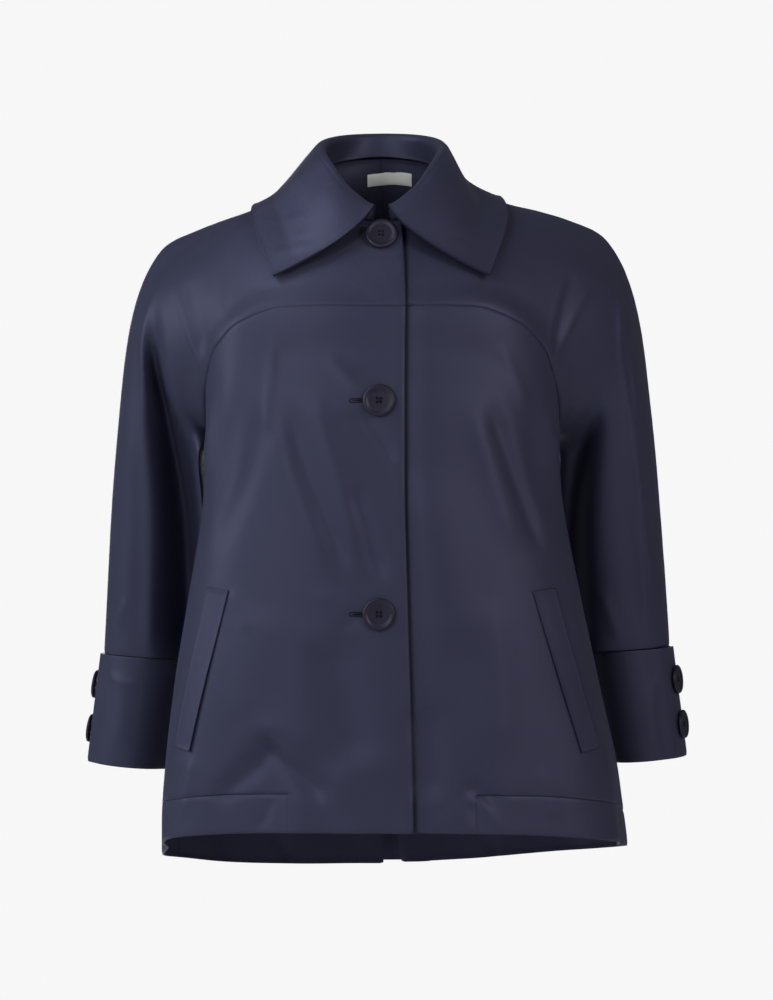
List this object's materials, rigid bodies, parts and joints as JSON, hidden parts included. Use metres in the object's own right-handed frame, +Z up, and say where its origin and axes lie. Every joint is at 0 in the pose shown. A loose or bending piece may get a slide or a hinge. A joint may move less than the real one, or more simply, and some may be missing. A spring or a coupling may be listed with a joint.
{
  "type": "short coat",
  "caption": "Short swing coat in dark satin, in its worn hollow form: pointed collar, curved yoke cut in one with the sleeves, deep buttoned cuffs, welt pockets, hem bands and back pleat.",
  "frame": {"origin": "midway between the points where the two shoulder seams meet the neck seam, where the wearer's shoulders hold the coat", "axes": "+Z up, -Y the way the front faces, -X the wearer's right"},
  "size_m": [0.5975, 0.3357, 0.727],
  "materials": {
    "satin": "soft satin sheen",
    "button": "satin",
    "label": "matt weave"
  },
  "bodies": {
    "root": {"back_body": "satin", "collar_leaf": "satin", "collar_stand": "satin", "cuff_left": "satin", "cuff_right": "satin", "front_body_left": "satin", "front_body_right": "satin", "hem_band_left": "satin", "hem_band_right": "satin", "welt_left": "satin", "welt_right": "satin", "yoke_sleeve_back_left": "satin", "yoke_sleeve_back_right": "satin", "yoke_sleeve_front_left": "satin", "yoke_sleeve_front_right": "satin", "cuff_button_left_1": "button", "cuff_button_left_2": "button", "cuff_button_right_1": "button", "cuff_button_right_2": "button", "front_button_1": "button", "front_button_2": "button", "front_button_3": "button", "neck_label": "label"}
  },
  "joints": []
}
